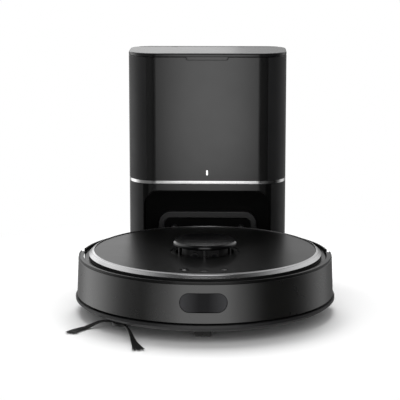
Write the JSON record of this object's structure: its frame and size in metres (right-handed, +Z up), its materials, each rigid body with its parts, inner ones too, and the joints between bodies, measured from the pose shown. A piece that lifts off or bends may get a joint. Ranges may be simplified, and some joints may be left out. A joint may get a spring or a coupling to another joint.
{
  "type": "robot vacuum",
  "caption": "Round robot vacuum with a laser turret, hinged cover, sprung bumper and side brush, standing in its tall self-emptying charging dock with a docking bay.",
  "frame": {"origin": "middle of the footprint on the floor, with the robot docked", "axes": "+Z up, -Y towards the robot's front, +Y towards the dock's back, +X to the right when looking at the robot's front"},
  "size_m": [0.3449, 0.4615, 0.3272],
  "materials": {
    "satin_black": "satin moulded plastic, near black",
    "gloss_black": "semi-gloss black plastic",
    "graphite": "satin dark grey plastic with a soft metallic look",
    "silver": "satin silver trim",
    "dark": "matt black plastic",
    "rubber": "matt black rubber",
    "steel": "plain steel",
    "motor": "motor case",
    "board": "circuit board",
    "white": "white plastic",
    "smoke": "smoked glossy plastic",
    "felt": "non-woven fabric",
    "contact": "plated contact metal",
    "battery": "shrink-wrapped cells"
  },
  "bodies": {
    "dock": {"dock_housing": "satin_black", "dock_lid_pin": "steel", "dock_trim_band": "silver", "dock_light": "white", "dust_bag": "felt", "bag_collar": "white", "dock_motor": "motor", "dock_duct": "dark", "dock_base_plate": "dark", "dock_port_seal": "rubber", "contact_block": "satin_black", "dock_board": "board", "dock_rear_panel": "dark", "power_inlet": "dark", "dock_foot_left": "rubber", "dock_foot_right": "rubber"},
    "dock_lid": {"dock_lid": "satin_black"},
    "charge_pin_left": {"charge_pin_left": "contact"},
    "charge_pin_right": {"charge_pin_right": "contact"},
    "robot": {"chassis": "dark", "upper_casing": "satin_black", "cover_hinge_pin": "steel", "lidar_guard": "gloss_black", "lidar_base": "dark", "lidar_motor": "motor", "lidar_belt": "rubber", "main_board": "board", "battery": "battery", "suction_fan": "dark", "dustbin": "smoke", "dustbin_filter": "felt", "brush_guard": "satin_black", "brush_gearbox": "motor", "side_brush_motor": "motor", "contact_pad_left": "contact", "contact_pad_right": "contact", "cliff_sensor_left": "smoke", "cliff_sensor_right": "smoke", "bumper_spring_left": "steel", "bumper_spring_right": "steel"},
    "bumper": {"bumper": "graphite", "sensor_window": "smoke"},
    "top_cover": {"top_cover": "satin_black", "cover_trim_ring": "silver"},
    "button_home": {"button_home": "satin_black"},
    "button_power": {"button_power": "satin_black"},
    "button_spot": {"button_spot": "satin_black"},
    "lidar_rotor": {"lidar_rotor": "dark"},
    "lidar_pulley": {"lidar_pulley": "white"},
    "brush_roller": {"brush_roller": "rubber"},
    "side_brush": {"side_brush_hub": "dark", "side_brush_bristles": "dark"},
    "wheel_arm_left": {"wheel_arm_left": "dark"},
    "wheel_arm_right": {"wheel_arm_right": "dark"},
    "wheel_left": {"wheel_left": "satin_black", "tyre_left": "rubber"},
    "wheel_right": {"wheel_right": "satin_black", "tyre_right": "rubber"},
    "caster_fork": {"caster_fork": "dark"},
    "caster_wheel": {"caster_wheel": "dark"}
  },
  "joints": [
    {"name": "robot_undock", "type": "slide", "parent": "dock", "child": "robot", "axis": [0, -1, 0], "range_m": [0, 0.45]},
    {"name": "dock_lid_open", "type": "hinge", "parent": "dock", "child": "dock_lid", "pos_m": [0, 0.2205, 0.3242], "axis": [-1, 0, 0], "range_deg": [0, 80]},
    {"name": "charge_pin_left_press", "type": "slide", "parent": "dock", "child": "charge_pin_left", "axis": [0, 1, 0], "range_m": [0, 0.002], "stiffness_N_per_m": 300, "springref_m": -0.003},
    {"name": "charge_pin_right_press", "type": "slide", "parent": "dock", "child": "charge_pin_right", "axis": [0, 1, 0], "range_m": [0, 0.002], "stiffness_N_per_m": 300, "springref_m": -0.003},
    {"name": "bumper_press", "type": "slide", "parent": "robot", "child": "bumper", "axis": [0, 1, 0], "range_m": [0, 0.005], "stiffness_N_per_m": 400, "springref_m": -0.002, "deforming": ["bumper_spring_left", "bumper_spring_right"]},
    {"name": "cover_open", "type": "hinge", "parent": "robot", "child": "top_cover", "pos_m": [0, 0.131, 0.075], "axis": [-1, 0, 0], "range_deg": [0, 60]},
    {"name": "button_home_press", "type": "slide", "parent": "top_cover", "child": "button_home", "axis": [0, 0, -1], "range_m": [0, 0.0006], "stiffness_N_per_m": 800, "springref_m": -0.0005},
    {"name": "button_power_press", "type": "slide", "parent": "top_cover", "child": "button_power", "axis": [0, 0, -1], "range_m": [0, 0.0006], "stiffness_N_per_m": 800, "springref_m": -0.0005},
    {"name": "button_spot_press", "type": "slide", "parent": "top_cover", "child": "button_spot", "axis": [0, 0, -1], "range_m": [0, 0.0006], "stiffness_N_per_m": 800, "springref_m": -0.0005},
    {"name": "lidar_spin", "type": "hinge", "parent": "robot", "child": "lidar_rotor", "pos_m": [0, -0.03, 0.07], "axis": [0, 0, 1], "continuous": true},
    {"name": "lidar_pulley_spin", "type": "hinge", "parent": "robot", "child": "lidar_pulley", "pos_m": [0.047, -0.03, 0.064], "axis": [0, 0, 1], "continuous": true},
    {"name": "brush_spin", "type": "hinge", "parent": "robot", "child": "brush_roller", "pos_m": [0, -0.03, 0.0195], "axis": [1, 0, 0], "continuous": true},
    {"name": "side_brush_spin", "type": "hinge", "parent": "robot", "child": "side_brush", "pos_m": [-0.103, -0.1265, 0.009], "axis": [0, 0, 1], "continuous": true, "deforming": ["side_brush_bristles"]},
    {"name": "wheel_drop_left", "type": "hinge", "parent": "robot", "child": "wheel_arm_left", "pos_m": [-0.09945, 0.03, 0.04], "axis": [1, 0, 0], "range_deg": [0, 20], "stiffness_Nm_per_rad": 0.3, "springref_deg": 68.75},
    {"name": "wheel_spin_left", "type": "hinge", "parent": "wheel_arm_left", "child": "wheel_left", "pos_m": [-0.117, -0.018, 0.033], "axis": [1, 0, 0], "continuous": true},
    {"name": "wheel_drop_right", "type": "hinge", "parent": "robot", "child": "wheel_arm_right", "pos_m": [0.09945, 0.03, 0.04], "axis": [1, 0, 0], "range_deg": [0, 20], "stiffness_Nm_per_rad": 0.3, "springref_deg": 68.75},
    {"name": "wheel_spin_right", "type": "hinge", "parent": "wheel_arm_right", "child": "wheel_right", "pos_m": [0.117, -0.018, 0.033], "axis": [1, 0, 0], "continuous": true},
    {"name": "caster_swivel", "type": "hinge", "parent": "robot", "child": "caster_fork", "pos_m": [0, -0.153, 0.02], "axis": [0, 0, 1], "continuous": true},
    {"name": "caster_roll", "type": "hinge", "parent": "caster_fork", "child": "caster_wheel", "pos_m": [0, -0.1575, 0.009], "axis": [1, 0, 0], "continuous": true}
  ],
  "couplings": [
    {"joint": "lidar_pulley_spin", "follows": "lidar_spin", "ratio": 8.5135}
  ]
}
